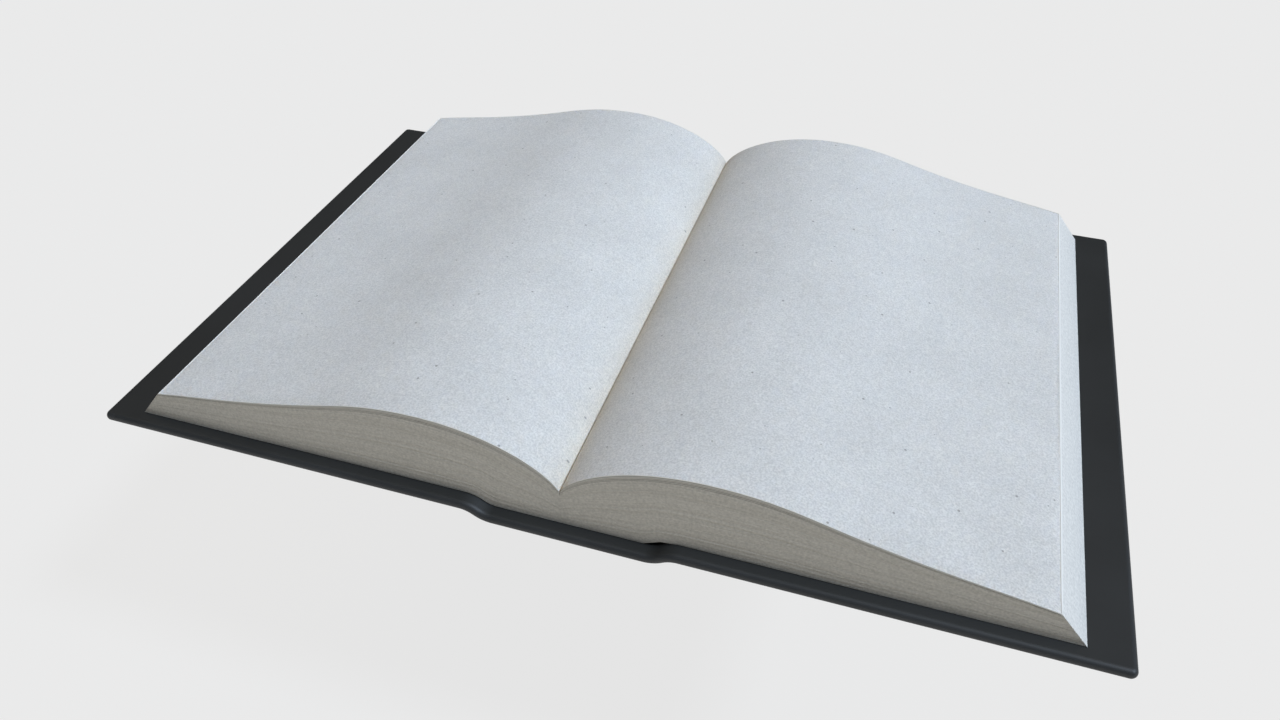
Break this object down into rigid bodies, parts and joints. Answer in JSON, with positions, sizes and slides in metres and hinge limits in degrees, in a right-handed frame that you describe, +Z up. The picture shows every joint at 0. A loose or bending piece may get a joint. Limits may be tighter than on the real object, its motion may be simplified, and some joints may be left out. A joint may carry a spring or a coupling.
{
  "type": "open book",
  "caption": "Blank case-bound book lying open at its middle, with curved pages and a black cover whose boards swing back on flexible joints.",
  "frame": {"origin": "under the gutter at the middle of the book's height, on the surface that the spine rests on", "axes": "+X across the spread towards the back cover, +Y along the spine from tail to head, +Z up"},
  "size_m": [0.3336, 0.2198, 0.036],
  "materials": {
    "pages": "uncoated, matte",
    "endpaper": "uncoated, matte",
    "leatherette": "soft matte black, very fine grain",
    "greyboard": "raw",
    "crash_cloth": "open weave cotton"
  },
  "bodies": {
    "block": {"text_block": "pages", "spine_lining": "crash_cloth", "spine_board": "greyboard", "spine_skin": "leatherette"},
    "front_cover": {"front_board": "greyboard", "front_skin": "leatherette", "front_pastedown": "endpaper"},
    "back_cover": {"back_board": "greyboard", "back_skin": "leatherette", "back_pastedown": "endpaper"}
  },
  "joints": [
    {"name": "front_joint", "type": "hinge", "parent": "block", "child": "front_cover", "pos_m": [-0.0276, 0, 0.0013], "axis": [0, -1, 0], "range_deg": [0, 90]},
    {"name": "back_joint", "type": "hinge", "parent": "block", "child": "back_cover", "pos_m": [0.03315, 0, 0.0013], "axis": [0, 1, 0], "range_deg": [0, 90]}
  ]
}
